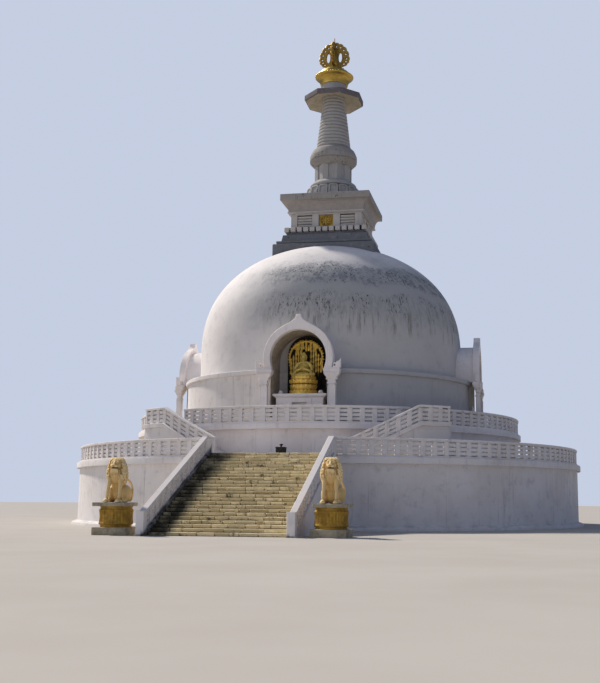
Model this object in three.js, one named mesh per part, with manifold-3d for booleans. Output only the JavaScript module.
// A white domed stupa on two round terraces, at half size: stair, parapets, four image niches and spire.
import * as THREE from "three";
import { mergeVertices } from "three/addons/utils/BufferGeometryUtils.js";
import Module from "manifold-3d";

const wasm = await Module();
wasm.setup();

// The frame stands at the centre of the ground face: +Z up, the stair towards -Y.
// Every size below is a real size in metres or degrees, and m() turns metres into model millimetres,
// rounded to tenths so that faces at the same height meet exactly.
const MODEL_SCALE = 1 / 2;
const m = (metres) => Math.round(metres * 10000 * MODEL_SCALE) / 10;

// Free space between pieces that meet on a curved or cut face, and the depth to which joined shapes sink.
const GAP = 0.3;
const GAP_METRES = GAP / m(1);
const SINK = 0.02;

const LOWER = {
  plinthRadius: 18.45,
  plinthFlareTop: 0.16,
  plinthTop: 0.3,
  wallRadius: 18.08,
  bandBottom: 3.8,
  bandRadius: 18.3,
  bandTop: 4.18,
  curbRadius: 18.12,
  curbTop: 4.29,
  floorRadius: 17.6,
  floorTop: 4.368,
  segments: 48,
};

const UPPER = {
  wallRadius: 13.85,
  bandBottom: 6.04,
  bandRadius: 14.14,
  bandTop: 6.38,
  curbRadius: 14.0,
  curbTop: 6.5,
  floorRadius: 13.5,
  floorTop: 6.62,
  segments: 48,
};

// A parapet is a row of posts under a coping; the slats between the posts are too fine for the solids.
const LOWER_PARAPET = {
  postInner: 17.8,
  postOuter: 18.05,
  copingInner: 17.75,
  copingOuter: 18.1,
  copingBottom: 5.14,
  copingTop: 5.28,
  foot: LOWER.curbTop,
  postWidth: 0.29,
  start: 11.3,
  stretchBays: [22, 21, 21],
  backBays: 10,
};

const UPPER_PARAPET = {
  postInner: 13.7,
  postOuter: 13.95,
  copingInner: 13.65,
  copingOuter: 14.0,
  copingBottom: 7.36,
  copingTop: 7.5,
  foot: UPPER.curbTop,
  postWidth: 0.31,
  frontEnd: 32.0,
  frontBays: 20,
  stretchBays: [22, 22],
};

const STAIR = {
  risers: 24,
  topNosing: 18.3,
  tread: 0.398,
  halfWidth: 3.45,
  wallOuter: 3.9,
  copingInner: 3.52,
  copingOuter: 3.88,
  postInner: 3.55,
  postOuter: 3.8,
  bays: 12,
  postWidth: 0.3,
  newelLength: 0.42,
  copingAboveNosing: 1.0,
  copingThickness: 0.15,
  openingHeight: 0.79,
  insideOverlap: 0.06,
};

// Each curved side flight climbs round the upper drum from the lower floor to a landing.
const SIDE_FLIGHT = {
  inner: UPPER.wallRadius,
  outer: 15.29,
  foot: 15.8,
  head: 31.6,
  end: 37.8,
  thresholdFrom: 32.8,
  thresholdInner: 13.4,
  thresholdOuter: 14.3,
  risers: 12,
};

const SIDE_PARAPET = {
  inner: 15.3,
  outer: 15.66,
  postInner: 15.36,
  postOuter: 15.6,
  foot: 15.8,
  head: SIDE_FLIGHT.head,
  end: 39.4,
  slopeBays: 6,
  levelBays: 3,
  returnBays: 2,
  returnFrom: 14.06,
  returnSetback: 0.02,
  thickness: 0.36,
  postWidth: 0.3,
  footCopingTop: 5.46,
  headCopingTop: 7.5,
  copingThickness: 0.14,
  openingHeight: 0.86,
  stringDepth: 0.28,
  stringOverhang: 0.1,
  stringSink: 0.05,
  footPostShare: 0.9,
};

const DOME = {
  drumRadius: 10.7,
  ringBottom: 9.9,
  ringRadius: 10.86,
  ringTop: 10.2,
  radius: 9.825,
  springing: 12.3,
  height: 8.51,
  exponent: 2.4,
  flatTop: 20.24,
  steps: 7,
  segments: 48,
};

const NICHE = {
  halfWidth: 1.95,
  backWall: 8.4,
  archCentre: 10.85,
  frontPlane: 11.3,
  plateDepth: 0.48,
  outerRadius: 2.33,
  openingRadius: 1.86,
  ogeeTip: 13.72,
  ogeeTipHalfWidth: 0.16,
  ogeeStart: 52,
  ogeeReach: 0.8,
  ogeeNeck: 0.06,
  ogeeBend: 0.62,
  barrelRadius: 2.14,
  barrelSink: 0.6,
  capitalBottom: 9.8,
  capitalTop: 10.16,
  capitalInner: 1.7,
  capitalOuter: 2.8,
  capitalDepth: 0.56,
  capitalProud: 0.05,
  cupBottom: 9.2,
  cupDepth: 0.4,
  columnInner: 2.0,
  columnOuter: 2.52,
  columnDepth: 0.3,
  columnProud: 0.03,
  spurInner: 2.34,
  spurOuter: 2.84,
  spurTop: 10.76,
  spurSetBack: 0.04,
  spurHook: [
    [0.28, 0.24],
    [0.12, 0.42],
  ],
  archSteps: 12,
};

const ALTAR = {
  halfWidth: 1.58,
  slabHalfWidth: 1.8,
  front: 10.6,
  back: 8.5,
  slabBottom: 8.26,
  slabOverhang: 0.12,
  slabFillet: 0.06,
  slabEdge: 0.12,
  slabStep: 0.02,
  top: 8.56,
  recessHalfWidth: 0.54,
  recessBottom: 7.2,
  recessTop: 7.98,
  recessDepth: 0.3,
};

// The image's heights are over the altar for the base and over the seat for the figure.
const IMAGE = {
  distance: 9.5,
  seat: 1.24,
  base: [
    [0.97, 0],
    [0.97, 0.24],
    [0.834, 0.32],
    [0.989, 0.5],
    [0.776, 0.7],
    [1.019, 0.96],
    [0.854, 1.24],
  ],
  baseSides: 12,
  knees: { centre: [0, -0.14, 0.14], radii: [0.84, 0.56, 0.22] },
  body: [
    [0.5, 0.1],
    [0.36, 0.46],
    [0.5, 0.84],
    [0.13, 1.0],
    [0.12, 1.14],
    [0.22, 1.3],
    [0.18, 1.48],
    [0.1, 1.76],
  ],
  bodySides: 8,
  bodyFlatness: 0.62,
  shoulder: { place: [0.44, 0.04, 0.82], radius: 0.13 },
  elbow: { place: [0.57, -0.06, 0.42], radius: 0.12 },
  hand: { place: [0.12, -0.34, 0.5], radius: 0.08 },
  aureole: {
    halfWidth: 1.26,
    top: 12.55,
    front: 8.94,
    back: 8.72,
    footShare: 0.72,
    shoulderShare: 0.94,
    shoulderRise: 0.7,
    arcFrom: -12,
    arcSteps: 12,
  },
};

// Profiles are [half width or radius, height] points, from the bottom upwards.
const HARMIKA = {
  tiers: [
    [3.82, 19.3],
    [3.82, 20.54],
    [3.6, 20.56],
    [3.6, 20.82],
    [3.3, 20.84],
    [3.19, 21.36],
    [2.96, 21.38],
    [2.96, 21.56],
    [3.12, 21.56],
    [3.12, 21.88],
    [2.84, 21.88],
    [2.84, 22.0],
  ],
  boxHalf: 2.7,
  boxBottom: 22.0,
  boxTop: 23.1,
  panelBottom: 22.1,
  panelTop: 23.0,
  panelDepth: 0.14,
  sidePanelInner: 1.08,
  sidePanelOuter: 2.2,
  middlePanelHalf: 0.56,
  cornice: [
    [2.9, 23.1],
    [2.9, 23.22],
    [2.96, 23.5],
    [3.08, 23.76],
    [3.28, 24.02],
    [3.41, 24.02],
    [3.41, 24.53],
  ],
};

const SPIRE = {
  sides: 16,
  ringSides: 12,
  lotus: [
    [2.2, 24.53],
    [2.16, 25.2],
    [2.0, 25.55],
    [1.76, 25.78],
    [1.72, 25.84],
    [1.72, 26.03],
    [1.5, 26.25],
  ],
  petals: 16,
  petalDepth: 0.07,
  petalTop: 25.6,
  lotusTop: 26.25,
  drumTop: 27.56,
  drumVertexRadius: 1.49,
  collar: [
    [1.5, 27.56],
    [1.78, 27.93],
    [1.85, 27.98],
    [1.85, 28.36],
    [1.78, 28.42],
    [1.78, 28.6],
    [1.66, 28.84],
    [1.42, 28.98],
    [1.36, 29.04],
  ],
  collarTop: 29.04,
  rings: 13,
  coneBottomRadius: 1.29,
  coneTopRadius: 0.84,
  ringGroove: 0.07,
  ringHeightShare: 0.75,
  coneTop: 32.9,
  canopy: [
    [2.3, 32.9],
    [2.38, 32.98],
    [2.38, 33.36],
  ],
  neck: [
    [1.12, 33.34],
    [1.12, 33.52],
    [0.95, 33.6],
    [0.95, 34.34],
  ],
  bowl: [
    [1.06, 34.34],
    [1.16, 34.66],
    [1.4, 34.96],
    [1.51, 35.06],
    [1.51, 35.16],
    [1.2, 35.3],
    [1.15, 35.46],
  ],
};

// The openwork jewel on the bowl: pierced fins with lobed edges cross on an egg.
const JEWEL = {
  stem: [
    [0.9, 35.46],
    [0.98, 35.62],
    [0.72, 35.8],
    [0.4, 35.96],
  ],
  egg: [
    [0.3, 35.92],
    [0.42, 36.0],
    [0.6, 36.3],
    [0.58, 36.62],
    [0.4, 36.96],
    [0.16, 37.24],
  ],
  waist: [0.36, 35.8],
  middle: 36.62,
  top: 38.1,
  below: 0.82,
  halfWidth: 1.25,
  thickness: 0.16,
  lobes: 7,
  lobesFrom: -48,
  lobesTo: 90,
  notch: [0.86, 0.88],
  eyes: [
    { x: 0.74, z: 36.62, halfWidth: 0.12, halfHeight: 0.42 },
    { x: 0.5, z: 37.36, halfWidth: 0.12, halfHeight: 0.2 },
    { x: 0.62, z: 36.04, halfWidth: 0.1, halfHeight: 0.08 },
  ],
  rodRadius: 0.035,
  rodBottom: 37.2,
  rodTop: 38.5,
  eggSides: 8,
  stemSides: 12,
};

const LION = {
  x: 5.35,
  y: -26.7,
  plinthHalf: 0.87,
  plinthTop: 0.38,
  drum: [
    [0.78, 0.36],
    [0.74, 0.4],
    [0.74, 0.48],
    [0.83, 0.54],
    [0.8, 0.86],
    [0.82, 1.2],
    [0.76, 1.24],
    [0.78, 1.37],
  ],
  drumTop: 1.37,
  slabHalf: 0.83,
  slabShift: 0.08,
  slabTop: 1.55,
  flutes: 20,
};
const LION_FORM = {
  lumps: [
    { centre: [0, 0.3, 0.46], radii: [0.42, 0.46, 0.5], faces: [8, 6] },
    { centre: [0, -0.1, 1.5], radii: [0.46, 0.4, 0.62], faces: [8, 6] },
    { centre: [0.03, -0.34, 1.84], radii: [0.29, 0.32, 0.33], faces: [8, 6] },
    { centre: [0.05, -0.6, 1.74], radii: [0.19, 0.18, 0.17], faces: [6, 4] },
  ],
  trunk: { from: [0, 0.24, 0.5], to: [0, -0.12, 1.45], radii: [0.4, 0.37], sides: 8 },
  paired: [
    { centre: [0.34, 0.28, 0.42], radii: [0.22, 0.48, 0.42], faces: [6, 4] },
    { centre: [0.39, -0.1, 0.09], radii: [0.13, 0.32, 0.13], faces: [6, 3] },
    { centre: [0.31, -0.62, 0.09], radii: [0.15, 0.23, 0.13], faces: [6, 3] },
    { centre: [0.24, -0.22, 2.07], radii: [0.09, 0.07, 0.11], faces: [5, 3] },
  ],
  foreleg: { from: [0.31, -0.53, 0], to: [0.27, -0.36, 1.25], radii: [0.09, 0.15], sides: 6 },
  tail: [
    [0.1, 0.74, 0.12],
    [0.4, 0.8, 0.16],
    [0.47, 0.76, 0.6],
    [0.42, 0.7, 0.92],
    [0.2, 0.54, 1.14],
    [0.06, 0.36, 1.2],
  ],
  tailRadius: 0.07,
  tailSides: 5,
  tailSteps: 7,
};

const BURNER = {
  x: 0.05,
  y: -15.5,
  halfWidth: 0.3,
  height: 0.46,
  knobTop: 0.66,
  knobRadii: [0.06, 0.12],
};

const COLOURS = {
  plaster: { color: 0xd9d3cf, roughness: 0.85, metalness: 0 },
  weathered: { color: 0xa9a6a4, roughness: 0.9, metalness: 0 },
  stair: { color: 0x8d8062, roughness: 0.92, metalness: 0 },
  paving: { color: 0xa79f92, roughness: 0.9, metalness: 0 },
  gilt: { color: 0xc8960f, roughness: 0.35, metalness: 1 },
  darkGilt: { color: 0x8a6b22, roughness: 0.45, metalness: 1 },
  lion: { color: 0xcbbd8c, roughness: 0.75, metalness: 0 },
  ochre: { color: 0xa98a3a, roughness: 0.8, metalness: 0 },
  slab: { color: 0x8f8a7c, roughness: 0.85, metalness: 0 },
  iron: { color: 0x222322, roughness: 0.6, metalness: 0.6 },
};

const stupa = new THREE.Group();

// Conversions between three.js geometry and solids that can be joined and cut

function solid(geometry) {
  const bare = geometry.index ? geometry.toNonIndexed() : geometry.clone();
  bare.deleteAttribute("normal");
  bare.deleteAttribute("uv");
  const merged = mergeVertices(bare, 1e-3);
  return new wasm.Manifold(
    new wasm.Mesh({
      numProp: 3,
      vertProperties: merged.attributes.position.array,
      triVerts: new Uint32Array(merged.index.array),
    }),
  );
}

function geometryOf(manifold) {
  const mesh = manifold.getMesh();
  const geometry = new THREE.BufferGeometry();
  const positions = new Float32Array(mesh.vertProperties);
  geometry.setAttribute("position", new THREE.BufferAttribute(positions, 3));
  geometry.setIndex(new THREE.BufferAttribute(new Uint32Array(mesh.triVerts), 1));
  geometry.computeVertexNormals();
  return geometry;
}

function join(...geometries) {
  const joined = geometries.map(solid).reduce((sum, next) => sum.add(next));
  return geometryOf(joined);
}

function cut(geometry, ...cutters) {
  const left = cutters.map(solid).reduce((rest, next) => rest.subtract(next), solid(geometry));
  return geometryOf(left);
}

function addPiece(name, geometry, finish, parent = stupa) {
  const mesh = new THREE.Mesh(geometry, new THREE.MeshStandardMaterial(COLOURS[finish]));
  mesh.name = name;
  parent.add(mesh);
  return mesh;
}

// Basic shapes, in real metres

const radians = THREE.MathUtils.degToRad;

function box([x0, x1], [y0, y1], [z0, z1]) {
  const geometry = new THREE.BoxGeometry(m(x1) - m(x0), m(y1) - m(y0), m(z1) - m(z0));
  return geometry.translate((m(x0) + m(x1)) / 2, (m(y0) + m(y1)) / 2, (m(z0) + m(z1)) / 2);
}

// A profile of [radius, height] points turned about the vertical axis; grow widens it in millimetres.
function turned(profile, segments, grow = 0) {
  const points = profile.map(([r, z]) => new THREE.Vector2(r === 0 ? 0 : m(r) + grow, m(z)));
  return new THREE.LatheGeometry(points, segments).rotateX(Math.PI / 2);
}

// The same profile, led in from the axis at its bottom and back to the axis at its top
function closed(profile) {
  const low = profile[0][1];
  const high = profile[profile.length - 1][1];
  return [[0, low], ...profile, [0, high]];
}

// A square block with a moulded side: a profile of [half width, height] points turned in four steps.
function squareTurned(profile) {
  const points = profile.map(([half, z]) => new THREE.Vector2(m(half) * Math.SQRT2, m(z)));
  return new THREE.LatheGeometry(points, 4).rotateX(Math.PI / 2).rotateZ(Math.PI / 4);
}

function octagonTurned(profile) {
  return turned(profile, 8).rotateZ(Math.PI / 8);
}

// A piece of a ring between two radii, with a corner at each angle; angles run from -Y towards +X.
function arcBlock(inner, outer, angles, bottom, top) {
  const at = (radius, angle) =>
    new THREE.Vector2(
      m(radius) * Math.sin(radians(angle)),
      -m(radius) * Math.cos(radians(angle)),
    );
  const outline = [
    ...angles.map((angle) => at(outer, angle)),
    ...angles.toReversed().map((angle) => at(inner, angle)),
  ];
  const depth = m(top) - m(bottom);
  const options = { depth, bevelEnabled: false };
  return new THREE.ExtrudeGeometry(new THREE.Shape(outline), options).translate(0, 0, m(bottom));
}

function evenAngles(from, to, steps) {
  return Array.from({ length: steps + 1 }, (_, i) => from + ((to - from) * i) / steps);
}

// An outline of [y, z] points, with holes, extruded from x0 to x1.
function extrudeAcross(outline, [x0, x1], holes = []) {
  const points = (list) => list.map(([y, z]) => new THREE.Vector2(m(y), m(z)));
  const shape = new THREE.Shape(points(outline));
  shape.holes = holes.map((hole) => new THREE.Path(points(hole)));
  const options = { depth: m(x1) - m(x0), bevelEnabled: false };
  const turn = new THREE.Matrix4().makeBasis(
    new THREE.Vector3(0, 1, 0),
    new THREE.Vector3(0, 0, 1),
    new THREE.Vector3(1, 0, 0),
  );
  return new THREE.ExtrudeGeometry(shape, options).applyMatrix4(turn).translate(m(x0), 0, 0);
}

// An outline of [x, z] points extruded from the plane y = front towards +Y by depth.
function extrudeBack(outline, front, depth, holes = []) {
  const points = (list) => list.map(([x, z]) => new THREE.Vector2(m(x), m(z)));
  const shape = new THREE.Shape(points(outline));
  shape.holes = holes.map((hole) => new THREE.Path(points(hole)));
  const options = { depth: m(depth), bevelEnabled: false };
  const geometry = new THREE.ExtrudeGeometry(shape, options).rotateX(Math.PI / 2);
  return geometry.translate(0, m(front) + m(depth), 0);
}

// Points of a circular arc in an upright plane; degrees run from the right-hand side upwards.
function arcPoints([centreX, centreZ], radius, from, to, steps) {
  return evenAngles(from, to, steps).map((angle) => [
    centreX + radius * Math.cos(radians(angle)),
    centreZ + radius * Math.sin(radians(angle)),
  ]);
}

function ellipsoid([x, y, z], [rx, ry, rz], tilt = 0, around = 8, down = 6) {
  return new THREE.SphereGeometry(1, around, down)
    .rotateX(Math.PI / 2)
    .scale(m(rx), m(ry), m(rz))
    .rotateX(radians(tilt))
    .translate(m(x), m(y), m(z));
}

function bar([x0, y0, z0], [x1, y1, z1], r0, r1, sides = 6) {
  const from = new THREE.Vector3(m(x0), m(y0), m(z0));
  const to = new THREE.Vector3(m(x1), m(y1), m(z1));
  const along = to.clone().sub(from);
  const up = new THREE.Vector3(0, 1, 0);
  const turn = new THREE.Quaternion().setFromUnitVectors(up, along.clone().normalize());
  return new THREE.CylinderGeometry(m(r1), m(r0), along.length(), sides)
    .applyQuaternion(turn)
    .translate(...from.add(to).divideScalar(2).toArray());
}

// Moves each corner of a geometry up by a height that depends on where it is.
function lift(geometry, heightAt) {
  const position = geometry.attributes.position;
  for (let i = 0; i < position.count; i += 1) {
    const x = position.getX(i);
    const y = position.getY(i);
    const angle = Math.abs(THREE.MathUtils.radToDeg(Math.atan2(x, -y)));
    position.setZ(i, position.getZ(i) + heightAt(angle, position.getZ(i)));
  }
  return geometry;
}

// The other hand of a piece, for the far side of the axis
function mirrored(geometry) {
  const plain = geometry.index ? geometry.toNonIndexed() : geometry.clone();
  plain.deleteAttribute("normal");
  plain.deleteAttribute("uv");
  const position = plain.attributes.position;
  const corner = new THREE.Vector3();
  const corners = [];
  for (let i = 0; i < position.count; i += 3) {
    for (const k of [0, 2, 1]) {
      corner.fromBufferAttribute(position, i + k);
      corners.push(-corner.x, corner.y, corner.z);
    }
  }
  const otherHand = new THREE.BufferGeometry();
  otherHand.setAttribute("position", new THREE.Float32BufferAttribute(corners, 3));
  otherHand.computeVertexNormals();
  return otherHand;
}

// The two terraces

const lowerProfile = [
  [0, 0],
  [LOWER.plinthRadius, 0],
  [LOWER.plinthRadius, LOWER.plinthFlareTop],
  [LOWER.wallRadius, LOWER.plinthTop],
  [LOWER.wallRadius, LOWER.bandBottom],
  [LOWER.bandRadius, LOWER.bandBottom],
  [LOWER.bandRadius, LOWER.bandTop],
  [LOWER.curbRadius, LOWER.bandTop],
  [LOWER.curbRadius, LOWER.curbTop],
  [LOWER.floorRadius, LOWER.curbTop],
  [LOWER.floorRadius, LOWER.floorTop],
  [0, LOWER.floorTop],
];

const upperProfile = [
  [0, LOWER.floorTop],
  [UPPER.wallRadius, LOWER.floorTop],
  [UPPER.wallRadius, UPPER.bandBottom],
  [UPPER.bandRadius, UPPER.bandBottom],
  [UPPER.bandRadius, UPPER.bandTop],
  [UPPER.curbRadius, UPPER.bandTop],
  [UPPER.curbRadius, UPPER.curbTop],
  [UPPER.floorRadius, UPPER.curbTop],
  [UPPER.floorRadius, UPPER.floorTop],
  [0, UPPER.floorTop],
];

function addTerraces() {
  addPiece("lower_plinth", turned(closed(lowerProfile.slice(1, 4)), LOWER.segments), "plaster");
  addPiece("lower_drum", turned(closed(lowerProfile.slice(3, 5)), LOWER.segments), "plaster");
  addPiece("lower_cornice", turned(closed(lowerProfile.slice(5, 9)), LOWER.segments), "plaster");
  addPiece("lower_floor", turned(closed(lowerProfile.slice(9, 11)), LOWER.segments), "paving");
  addPiece("upper_drum", turned(closed(upperProfile.slice(1, 3)), UPPER.segments), "plaster");
  addPiece("upper_cornice", turned(closed(upperProfile.slice(3, 7)), UPPER.segments), "plaster");
  addPiece("upper_floor", turned(closed(upperProfile.slice(7, 9)), UPPER.segments), "paving");
}

// One stretch of parapet: half a post at each end, whole posts between, and one coping over them
function parapetStretch(style, from, bays, pitch) {
  const seam = THREE.MathUtils.radToDeg(GAP / 2 / m(style.postInner));
  const to = from + bays * pitch;
  const half = THREE.MathUtils.radToDeg(style.postWidth / 2 / style.postOuter);
  const corners = evenAngles(from, to, bays);
  const alternate = corners.slice(1, -1).filter((_, i) => i % 2 === 1);
  const trimmed = [from + seam, ...alternate, to - seam];
  const coping = arcBlock(
    style.copingInner,
    style.copingOuter,
    trimmed,
    style.copingBottom,
    style.copingTop,
  );
  const posts = corners.map((angle) => {
    const span = [Math.max(angle - half, from + seam), Math.min(angle + half, to - seam)];
    const top = style.copingBottom + SINK;
    return arcBlock(style.postInner, style.postOuter, span, style.foot, top);
  });
  return join(coping, ...posts);
}

// The parapet of a terrace on one side, in stretches of whole bays; the other side mirrors it.
function addParapet(name, style, from, pitch, bayCounts) {
  let start = from;
  bayCounts.forEach((bays, i) => {
    const geometry = parapetStretch(style, start, bays, pitch);
    addPiece(`${name}_right_${i + 1}`, geometry, "plaster");
    addPiece(`${name}_left_${i + 1}`, mirrored(geometry), "plaster");
    start += bays * pitch;
  });
  return start;
}

const sumOf = (list) => list.reduce((sum, next) => sum + next);
const lowPitch =
  (360 - 2 * LOWER_PARAPET.start) /
  (2 * sumOf(LOWER_PARAPET.stretchBays) + LOWER_PARAPET.backBays);

function addParapets() {
  const low = LOWER_PARAPET;
  const reached = addParapet("lower_parapet", low, low.start, lowPitch, low.stretchBays);
  const back = parapetStretch(low, reached, low.backBays, lowPitch);
  addPiece("lower_parapet_back", back, "plaster");

  const high = UPPER_PARAPET;
  const frontPitch = (2 * high.frontEnd) / high.frontBays;
  const front = parapetStretch(high, -high.frontEnd, high.frontBays, frontPitch);
  addPiece("upper_parapet_front", front, "plaster");
  const sidePitch = (180 - SIDE_PARAPET.end) / sumOf(high.stretchBays);
  addParapet("upper_parapet", high, SIDE_PARAPET.end, sidePitch, high.stretchBays);
}

// The main stair: a flight of solid steps between two sloping balustrades that end at the parapet

function addMainStair() {
  const riser = LOWER.floorTop / STAIR.risers;
  const inside = 1 - LOWER.floorRadius;
  const outline = [
    [inside, 0],
    [inside, LOWER.floorTop],
  ];
  for (let step = STAIR.risers; step > 0; step -= 1) {
    const y = -STAIR.topNosing - (STAIR.risers - step) * STAIR.tread;
    outline.push([y, step * riser], [y, (step - 1) * riser]);
  }
  const halfWidth = STAIR.halfWidth - GAP_METRES;
  const flight = extrudeAcross(outline, [-halfWidth, halfWidth]);
  const underground = [
    [0, -1],
    [LOWER.plinthRadius, -1],
  ];
  const terrace = turned([...underground, ...lowerProfile.slice(2)], LOWER.segments, GAP);
  addPiece("main_stair_flight", cut(flight, terrace), "stair");

  const ring = LOWER_PARAPET;
  const ringEnd = arcBlock(
    ring.copingInner,
    ring.copingOuter + GAP_METRES,
    [ring.start - 1, ring.start, ring.start + lowPitch, ring.start + 2 * lowPitch],
    LOWER.curbTop,
    ring.copingTop + 1,
  );
  const balustrade = cut(mainBalustrade(riser), terrace, ringEnd);
  addPiece("main_stair_balustrade_right", balustrade, "plaster");
  addPiece("main_stair_balustrade_left", mirrored(balustrade), "plaster");
}

function mainBalustrade(riser) {
  const slope = riser / STAIR.tread;
  const foot = -STAIR.topNosing - (STAIR.risers - 1) * STAIR.tread;
  const newelFoot = foot - STAIR.newelLength;
  const copingTop = (y) => riser + (y - foot) * slope + STAIR.copingAboveNosing;
  const openingTop = (y) => copingTop(y) - STAIR.copingThickness;
  const openingBottom = (y) => openingTop(y) - STAIR.openingHeight;
  const levelFrom = foot + (LOWER_PARAPET.copingTop - copingTop(foot)) / slope;
  const ringStart = -LOWER_PARAPET.copingInner * Math.cos(radians(LOWER_PARAPET.start));
  const inside = ringStart - STAIR.insideOverlap;
  const under = (heightAt) => [
    [newelFoot, 0],
    [inside, 0],
    [inside, heightAt(levelFrom)],
    [levelFrom, heightAt(levelFrom)],
    [newelFoot, heightAt(newelFoot)],
  ];
  const pitch = (levelFrom - foot) / STAIR.bays;
  const openings = Array.from({ length: STAIR.bays }, (_, i) => {
    const y0 = foot + i * pitch + STAIR.postWidth / 2;
    const y1 = foot + (i + 1) * pitch - STAIR.postWidth / 2;
    return [
      [y0, openingBottom(y0)],
      [y1, openingBottom(y1)],
      [y1, openingTop(y1)],
      [y0, openingTop(y0)],
    ];
  });
  const posts = under((y) => openingTop(y) + SINK);
  const body = extrudeAcross(posts, [STAIR.postInner, STAIR.postOuter], openings);
  const string = extrudeAcross(under(openingBottom), [STAIR.halfWidth, STAIR.wallOuter]);
  const coping = extrudeAcross(
    [
      [foot, openingTop(foot)],
      [levelFrom, openingTop(levelFrom)],
      [inside, openingTop(levelFrom)],
      [inside, copingTop(levelFrom)],
      [levelFrom, copingTop(levelFrom)],
      [foot, copingTop(foot)],
    ],
    [STAIR.copingInner, STAIR.copingOuter],
  );
  const newel = box(
    [STAIR.halfWidth, STAIR.wallOuter],
    [newelFoot, newelFoot + STAIR.newelLength],
    [0, copingTop(foot) - SINK],
  );
  return join(body, string, coping, newel);
}

// The side flights: curved steps round the upper drum, each behind its own parapet

function addSideFlights() {
  const rise = UPPER.floorTop - LOWER.floorTop;
  const climb = evenAngles(SIDE_FLIGHT.foot, SIDE_FLIGHT.head, SIDE_FLIGHT.risers - 1);
  const corners = [...climb, ...evenAngles(SIDE_FLIGHT.head, SIDE_FLIGHT.end, 3).slice(1)];
  const steps = climb.map((_, i) => {
    const top = LOWER.floorTop + (rise * (i + 1)) / SIDE_FLIGHT.risers;
    return arcBlock(SIDE_FLIGHT.inner, SIDE_FLIGHT.outer, corners.slice(i), LOWER.floorTop, top);
  });
  const terraceSide = [
    ...upperProfile.slice(0, 7),
    [UPPER.curbRadius, UPPER.floorTop + 1],
    [0, UPPER.floorTop + 1],
  ];
  const terrace = turned(terraceSide, UPPER.segments, GAP);
  const floor = turned(
    [
      [0, UPPER.curbTop - 1],
      [UPPER.floorRadius, UPPER.curbTop - 1],
      [UPPER.floorRadius, UPPER.floorTop + 1],
      [0, UPPER.floorTop + 1],
    ],
    UPPER.segments,
    GAP,
  );
  const threshold = arcBlock(
    SIDE_FLIGHT.thresholdInner,
    SIDE_FLIGHT.thresholdOuter,
    evenAngles(SIDE_FLIGHT.thresholdFrom, SIDE_FLIGHT.end, 2),
    UPPER.curbTop,
    UPPER.floorTop,
  );
  const flight = join(cut(join(...steps), terrace), cut(threshold, floor));
  addPiece("side_flight_right", flight, "plaster");
  addPiece("side_flight_left", mirrored(flight), "plaster");

  const parapet = cut(sideParapet(), terrace);
  addPiece("side_flight_parapet_right", parapet, "plaster");
  addPiece("side_flight_parapet_left", mirrored(parapet), "plaster");
}

function sideParapet() {
  const p = SIDE_PARAPET;
  const fall = p.headCopingTop - p.footCopingTop;
  const slopePitch = (p.head - p.foot) / p.slopeBays;
  const levelPitch = (p.end - p.head) / p.levelBays;
  const half = THREE.MathUtils.radToDeg(p.postWidth / 2 / p.outer);
  const corners = [
    ...evenAngles(p.foot, p.head, p.slopeBays),
    ...evenAngles(p.head, p.end, p.levelBays).slice(1),
  ];
  const copingBottom = p.headCopingTop - p.copingThickness;
  const openingBottom = copingBottom - p.openingHeight;
  const drop = (angle) => (m(fall) * Math.max(0, p.head - angle)) / (p.head - p.foot);
  const sloping = (geometry) => lift(geometry, (angle) => -drop(angle));
  const onFloor = (geometry) =>
    lift(geometry, (angle, z) => (z > m(LOWER.floorTop) + 1 ? -drop(angle) : 0));

  const wall = onFloor(arcBlock(p.inner, p.outer, corners, LOWER.floorTop, openingBottom));
  const string = sloping(
    arcBlock(
      p.outer - p.stringSink,
      p.outer + p.stringOverhang,
      corners.slice(1),
      openingBottom - p.stringDepth,
      openingBottom,
    ),
  );
  const coping = sloping(arcBlock(p.inner, p.outer, corners, copingBottom, p.headCopingTop));
  const posts = corners.map((angle, i) => {
    const reach = i === 0 ? half * p.footPostShare : half;
    const span = [Math.max(angle - reach, p.foot), Math.min(angle + reach, p.end)];
    return sloping(
      arcBlock(p.postInner, p.postOuter, span, openingBottom - SINK, copingBottom + SINK),
    );
  });
  return join(wall, string, coping, ...posts, returnParapet(openingBottom, copingBottom));
}

// The end of the side parapet, which turns inwards at the landing to meet the upper terrace
function returnParapet(openingBottom, copingBottom) {
  const p = SIDE_PARAPET;
  const inset = p.outer - p.postOuter;
  const face = -p.returnSetback;
  const back = face - p.thickness;
  const tip = 1 - p.returnFrom;
  const pitch = (p.inner - p.returnFrom) / p.returnBays;
  const posts = Array.from({ length: p.returnBays }, (_, i) => {
    const middle = -p.inner + (i + 1) * pitch;
    return box(
      [back + inset, face - inset],
      [middle - p.postWidth / 2, middle + p.postWidth / 2],
      [openingBottom - SINK, copingBottom + SINK],
    );
  });
  const corner = box(
    [back + inset, face - inset],
    [-p.postOuter, -p.postInner],
    [openingBottom - SINK, copingBottom + SINK],
  );
  const base = box([back, face], [-p.postOuter, tip], [LOWER.floorTop, openingBottom]);
  const coping = box([back, face], [-p.postOuter, tip], [copingBottom, p.headCopingTop]);
  return join(corner, ...posts, base, coping).rotateZ(radians(p.end));
}

// The dome on its drum, with four deep round-headed recesses

const domeProfile = [
  [0, UPPER.floorTop],
  [DOME.drumRadius, UPPER.floorTop],
  [DOME.drumRadius, DOME.ringBottom],
  [DOME.ringRadius, DOME.ringBottom],
  [DOME.ringRadius, DOME.ringTop],
  [DOME.radius, DOME.ringTop],
  ...domeCurve(),
  [0, DOME.flatTop],
];

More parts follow.
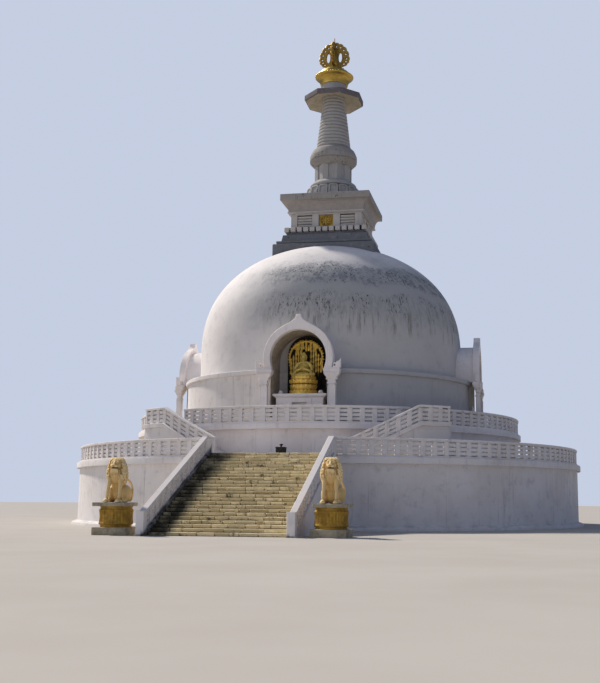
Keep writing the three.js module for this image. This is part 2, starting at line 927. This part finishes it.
// A superellipse from the springing line to the flat crown that carries the square block
function domeCurve() {
  const power = 2 / DOME.exponent;
  const share = (DOME.flatTop - DOME.springing) / DOME.height;
  const last = Math.asin(share ** (1 / power));
  return evenAngles(0, last, DOME.steps).map((angle, i) => {
    const z = DOME.springing + DOME.height * Math.sin(angle) ** power;
    return [DOME.radius * Math.cos(angle), i === DOME.steps ? DOME.flatTop : z];
  });
}

function arch(halfWidth, bottom, centre, steps) {
  return [
    [-halfWidth, bottom],
    [halfWidth, bottom],
    ...arcPoints([0, centre], halfWidth, 0, 180, steps),
  ];
}

function onFourSides(geometry) {
  return [0, 1, 2, 3].map((turns) => geometry.clone().rotateZ((turns * Math.PI) / 2));
}

function addDome() {
  const n = NICHE;
  const outline = arch(n.halfWidth, UPPER.floorTop - 1, n.archCentre, n.archSteps);
  const recess = extrudeBack(outline, -n.frontPlane - 1, n.frontPlane + 1 - n.backWall);
  const recesses = onFourSides(recess);
  const drum = turned(closed(domeProfile.slice(1, 3)), DOME.segments);
  const ring = turned(closed(domeProfile.slice(3, 5)), DOME.segments);
  const dome = turned(closed(domeProfile.slice(5, -1)), DOME.segments);
  addPiece("dome_drum", cut(drum, ...recesses), "plaster");
  addPiece("dome_ring", cut(ring, ...recesses), "plaster");
  addPiece("dome", cut(dome, ...recesses), "plaster");
}

// Each niche has a front arch with an ogee tip on two columns, and a barrel vault back to the dome.

const SIDES = ["front", "right", "back", "left"];

function addOnSides(name, geometry, finish) {
  SIDES.forEach((side, i) => {
    const quarterTurn = new THREE.Group();
    quarterTurn.rotation.z = (i * Math.PI) / 2;
    stupa.add(quarterTurn);
    addPiece(`${name}_${side}`, geometry.clone(), finish, quarterTurn);
  });
}

function archPlate() {
  const n = NICHE;
  const centre = [0, n.archCentre];
  const foot = (radius) => {
    const drop = n.archCentre - n.capitalTop;
    return THREE.MathUtils.radToDeg(Math.asin(drop / radius));
  };
  const right = arcPoints(centre, n.outerRadius, -foot(n.outerRadius), n.ogeeStart, 7);
  const [startX, startZ] = right[right.length - 1];
  const slopeX = -Math.sin(radians(n.ogeeStart));
  const slopeZ = Math.cos(radians(n.ogeeStart));
  const tip = new THREE.CubicBezierCurve(
    new THREE.Vector2(startX, startZ),
    new THREE.Vector2(startX + slopeX * n.ogeeReach, startZ + slopeZ * n.ogeeReach),
    new THREE.Vector2(n.ogeeTipHalfWidth + n.ogeeNeck, n.ogeeTip - n.ogeeBend),
    new THREE.Vector2(n.ogeeTipHalfWidth, n.ogeeTip),
  );
  right.push(...tip.getPoints(4).slice(1).map(({ x, y }) => [x, y]));
  const left = right.map(([x, z]) => [-x, z]).reverse();
  const opening = arcPoints(
    centre,
    n.openingRadius,
    180 + foot(n.openingRadius),
    -foot(n.openingRadius),
    n.archSteps,
  );
  return extrudeBack([...right, ...left, ...opening], -n.frontPlane, n.plateDepth);
}

function column(side) {
  const n = NICHE;
  const front = -n.frontPlane - n.columnProud;
  const across = (x0, x1) => (side > 0 ? [x0, x1] : [-x1, -x0]);
  const shaft = box(
    across(n.columnInner, n.columnOuter),
    [front, front + n.columnDepth],
    [UPPER.floorTop, n.cupBottom + SINK],
  );
  const cup = extrudeBack(
    [
      [side * n.columnInner, n.cupBottom],
      [side * n.columnOuter, n.cupBottom],
      [side * n.capitalOuter, n.capitalBottom + SINK],
      [side * n.capitalInner, n.capitalBottom + SINK],
    ],
    front,
    n.cupDepth,
  );
  const abacus = box(
    across(n.capitalInner, n.capitalOuter),
    [front - n.capitalProud, front - n.capitalProud + n.capitalDepth],
    [n.capitalBottom, n.capitalTop + SINK],
  );
  const spur = extrudeBack(
    [
      [side * n.spurInner, n.capitalTop],
      [side * n.spurOuter, n.capitalTop],
      [side * n.spurOuter, n.spurTop],
      ...n.spurHook.map(([out, down]) => [side * (n.spurInner + out), n.spurTop - down]),
    ],
    front + n.spurSetBack,
    n.cupDepth,
  );
  return [shaft, cup, abacus, spur];
}

function addPorches() {
  const n = NICHE;
  const back = -DOME.radius + n.barrelSink;
  const barrelFront = -n.frontPlane + n.plateDepth - SINK;
  const vault = arch(n.barrelRadius, n.capitalTop, n.archCentre, n.archSteps);
  const barrel = extrudeBack(vault, barrelFront, back - barrelFront);
  const outline = arch(n.halfWidth, n.capitalTop - 1, n.archCentre, n.archSteps);
  const inside = extrudeBack(outline, -n.frontPlane, n.frontPlane);
  const dome = turned(domeProfile, DOME.segments, GAP);
  const vaultShell = cut(barrel, inside, dome);
  const porch = join(archPlate(), ...column(1), ...column(-1), vaultShell);
  addOnSides("niche_porch", porch, "plaster");
}

function addAltars() {
  const a = ALTAR;
  const body = box(
    [-a.halfWidth, a.halfWidth],
    [-a.front, -a.back],
    [UPPER.floorTop, a.slabBottom + SINK],
  );
  const edge = a.top - a.slabEdge;
  const slab = extrudeBack(
    [
      [-a.halfWidth, a.slabBottom],
      [a.halfWidth, a.slabBottom],
      [a.slabHalfWidth - a.slabFillet, edge - a.slabStep],
      [a.slabHalfWidth, edge],
      [a.slabHalfWidth, a.top],
      [-a.slabHalfWidth, a.top],
      [-a.slabHalfWidth, edge],
      [-a.slabHalfWidth + a.slabFillet, edge - a.slabStep],
    ],
    -a.front - a.slabOverhang,
    a.front + a.slabOverhang - a.back,
  );
  const recess = box(
    [-a.recessHalfWidth, a.recessHalfWidth],
    [-a.front - 1, -a.front + a.recessDepth],
    [a.recessBottom, a.recessTop],
  );
  addOnSides("altar", cut(join(body, slab), recess), "plaster");
}

// A gilded seated figure on a double lotus base, with a tall leaf-shaped aureole behind it
function addImages() {
  const i = IMAGE;
  const low = ALTAR.top;
  const seat = low + i.seat;
  const raised = (profile, height) => profile.map(([r, z]) => [r, z + height]);
  const base = turned(closed(raised(i.base, low)), i.baseSides);
  const body = turned(closed(raised(i.body, seat)), i.bodySides).scale(1, i.bodyFlatness, 1);
  const at = ([x, y, z], side = 1) => [side * x, y, z + seat];
  const knees = ellipsoid(at(i.knees.centre), i.knees.radii, 0, 8, 4);
  const arms = [-1, 1].flatMap((side) => [
    bar(at(i.shoulder.place, side), at(i.elbow.place, side), i.shoulder.radius, i.elbow.radius),
    bar(at(i.elbow.place, side), at(i.hand.place, side), i.elbow.radius, i.hand.radius),
  ]);
  const seated = [base, body, knees, ...arms].map((part) => part.translate(0, -m(i.distance), 0));
  addOnSides("gilt_image", join(...seated, aureole(low)), "gilt");
}

// The leaf-shaped plate that rises from the altar behind the figure
function aureole(low) {
  const a = IMAGE.aureole;
  const half = a.halfWidth;
  const leaf = [
    [-a.footShare * half, low],
    [a.footShare * half, low],
    [a.shoulderShare * half, low + a.shoulderRise],
    ...arcPoints([0, a.top - half], half, a.arcFrom, 180 - a.arcFrom, a.arcSteps),
    [-a.shoulderShare * half, low + a.shoulderRise],
  ];
  return extrudeBack(leaf, -a.front, a.front - a.back);
}

// The square block on the crown of the dome

function addHarmika() {
  const h = HARMIKA;
  const tiers = squareTurned(closed(h.tiers));
  const dome = turned(domeProfile, DOME.segments, GAP);
  addPiece("harmika_base", cut(tiers, dome), "weathered");

  const block = box([-h.boxHalf, h.boxHalf], [-h.boxHalf, h.boxHalf], [h.boxBottom, h.boxTop]);
  const panelAcross = [
    [-h.sidePanelOuter, -h.sidePanelInner],
    [-h.middlePanelHalf, h.middlePanelHalf],
    [h.sidePanelInner, h.sidePanelOuter],
  ];
  const panels = panelAcross.flatMap((across) =>
    onFourSides(
      box(across, [-h.boxHalf - 1, -h.boxHalf + h.panelDepth], [h.panelBottom, h.panelTop]),
    ),
  );
  addPiece("harmika_box", cut(block, ...panels), "plaster");

  const cornice = squareTurned(closed(h.cornice));
  addPiece("harmika_cornice", cornice, "weathered");
}

// The spire above the block

function addSpire() {
  const s = SPIRE;
  addPiece("spire_lotus", petalled(turned(closed(s.lotus), 2 * s.petals), m(s.petalTop)), "plaster");

  const drum = octagonTurned([
    [0, s.lotusTop],
    [s.drumVertexRadius, s.lotusTop],
    [s.drumVertexRadius, s.drumTop],
    [0, s.drumTop],
  ]);
  addPiece("spire_drum", drum, "plaster");
  addPiece("spire_collar", turned(closed(s.collar), s.sides), "plaster");
  addPiece("spire_rings", turned(ringedCone(), s.ringSides), "plaster");

  const canopy = join(octagonTurned(closed(s.canopy)), turned(closed(s.neck), s.sides));
  addPiece("spire_canopy", canopy, "weathered");
  addPiece("spire_bowl", turned(closed(s.bowl), s.sides), "gilt");
  addPiece("spire_jewel", jewel(), "darkGilt");
}

// Draws every second edge of a turned shape in, below a height, so that each pair of sides is a petal.
function petalled(geometry, below) {
  const position = geometry.attributes.position;
  const step = Math.PI / SPIRE.petals;
  for (let i = 0; i < position.count; i += 1) {
    const angle = Math.atan2(position.getX(i), -position.getY(i));
    const valley = Math.round(angle / step) % 2 !== 0;
    if (!valley || position.getZ(i) > below) continue;
    position.setX(i, position.getX(i) * (1 - SPIRE.petalDepth));
    position.setY(i, position.getY(i) * (1 - SPIRE.petalDepth));
  }
  return geometry;
}

function ringedCone() {
  const s = SPIRE;
  const pitch = (s.coneTop - s.collarTop) / s.rings;
  const radiusAt = (z) => {
    const share = (z - s.collarTop) / (s.coneTop - s.collarTop);
    return s.coneBottomRadius + (s.coneTopRadius - s.coneBottomRadius) * share;
  };
  const sides = Array.from({ length: s.rings }, (_, i) => {
    const z = s.collarTop + i * pitch;
    const last = i === s.rings - 1;
    return [
      [radiusAt(z) - s.ringGroove, z],
      [radiusAt(z + s.ringHeightShare * pitch), last ? s.coneTop : z + s.ringHeightShare * pitch],
    ];
  });
  return [[0, s.collarTop], ...sides.flat(), [0, s.coneTop]];
}

function jewel() {
  const j = JEWEL;
  const rise = j.top - j.middle;
  const share = (j.lobesTo - j.lobesFrom) / j.lobes;
  const lobed = (degrees, [across, up]) => {
    const height = degrees > 0 ? rise : j.below;
    return [
      across * j.halfWidth * Math.cos(radians(degrees)),
      j.middle + up * height * Math.sin(radians(degrees)),
    ];
  };
  const right = [j.waist];
  for (let i = 0; i < j.lobes; i += 1) {
    const start = j.lobesFrom + i * share;
    right.push(lobed(start + share / 2, [1, 1]));
    if (i < j.lobes - 1) right.push(lobed(start + share, j.notch));
  }
  const left = right.map(([x, z]) => [-x, z]).reverse();
  const holes = j.eyes.flatMap(({ x, z, halfWidth, halfHeight }) => {
    const corners = arcPoints([0, 0], 1, 0, 270, 3);
    const hole = corners.map(([a, b]) => [x + halfWidth * a, z + halfHeight * b]);
    return [hole, hole.map(([a, b]) => [-a, b])];
  });
  const outline = [...right, [0, j.top], ...left];
  const fin = extrudeBack(outline, -j.thickness / 2, j.thickness, holes);
  const egg = turned(closed(j.egg), j.eggSides);
  const stem = turned(closed(j.stem), j.stemSides);
  const rod = bar([0, 0, j.rodBottom], [0, 0, j.rodTop], j.rodRadius, j.rodRadius);
  return join(stem, egg, fin, fin.clone().rotateZ(Math.PI / 2), rod);
}

// The two guardian lions beside the foot of the stair

function addLions() {
  const l = LION;
  const plinth = box(
    [l.x - l.plinthHalf, l.x + l.plinthHalf],
    [l.y - l.plinthHalf, l.y + l.plinthHalf],
    [0, l.plinthTop],
  );
  const drum = turned(closed(l.drum), l.flutes).translate(m(l.x), m(l.y), 0);
  const slab = box(
    [l.x + l.slabShift - l.slabHalf, l.x + l.slabShift + l.slabHalf],
    [l.y - l.slabHalf, l.y + l.slabHalf],
    [l.drumTop, l.slabTop],
  );
  const pedestal = join(plinth, drum);
  const lion = seatedLion().translate(m(l.x), m(l.y), m(l.slabTop));
  const otherLion = lion.clone().translate(-2 * m(l.x), 0, 0);
  addPiece("lion_pedestal_right", pedestal, "ochre");
  addPiece("lion_pedestal_left", mirrored(pedestal), "ochre");
  addPiece("lion_slab_right", slab, "slab");
  addPiece("lion_slab_left", mirrored(slab), "slab");
  addPiece("lion_right", lion, "lion");
  addPiece("lion_left", otherLion, "lion");
}

// A lion that sits on its haunches with straight forelegs, facing -Y, its paws at height 0
function seatedLion() {
  const f = LION_FORM;
  const onSide = ([x, y, z], side) => [side * x, y, z];
  const lump = ({ centre, radii, faces }, side = 1) =>
    ellipsoid(onSide(centre, side), radii, 0, ...faces);
  const post = ({ from, to, radii, sides }, side = 1) =>
    bar(onSide(from, side), onSide(to, side), ...radii, sides);
  const pairs = [-1, 1].flatMap((side) => [
    post(f.foreleg, side),
    ...f.paired.map((part) => lump(part, side)),
  ]);
  const route = new THREE.CatmullRomCurve3(
    f.tail.map(([x, y, z]) => new THREE.Vector3(m(x), m(y), m(z))),
  );
  const lastCorner = 360 - 360 / f.tailSides;
  const ring = arcPoints([0, 0], m(f.tailRadius), 0, lastCorner, f.tailSides - 1);
  const tail = new THREE.ExtrudeGeometry(
    new THREE.Shape(ring.map(([x, y]) => new THREE.Vector2(x, y))),
    { steps: f.tailSteps, extrudePath: route },
  );
  const lion = join(post(f.trunk), ...f.lumps.map((part) => lump(part)), ...pairs, tail);
  const ground = box([-2, 2], [-2, 2], [-1, 0]);
  return cut(lion, ground);
}

// The incense burner that stands on the lower floor at the head of the stair
function addBurner() {
  const b = BURNER;
  const casing = box(
    [b.x - b.halfWidth, b.x + b.halfWidth],
    [b.y - b.halfWidth, b.y + b.halfWidth],
    [LOWER.floorTop, LOWER.floorTop + b.height],
  );
  const knob = bar(
    [b.x, b.y, LOWER.floorTop + b.height - SINK],
    [b.x, b.y, LOWER.floorTop + b.knobTop],
    ...b.knobRadii,
  );
  addPiece("incense_burner", join(casing, knob), "iron");
}

addTerraces();
addParapets();
addMainStair();
addSideFlights();
addDome();
addPorches();
addAltars();
addImages();
addHarmika();
addSpire();
addLions();
addBurner();

export default stupa;
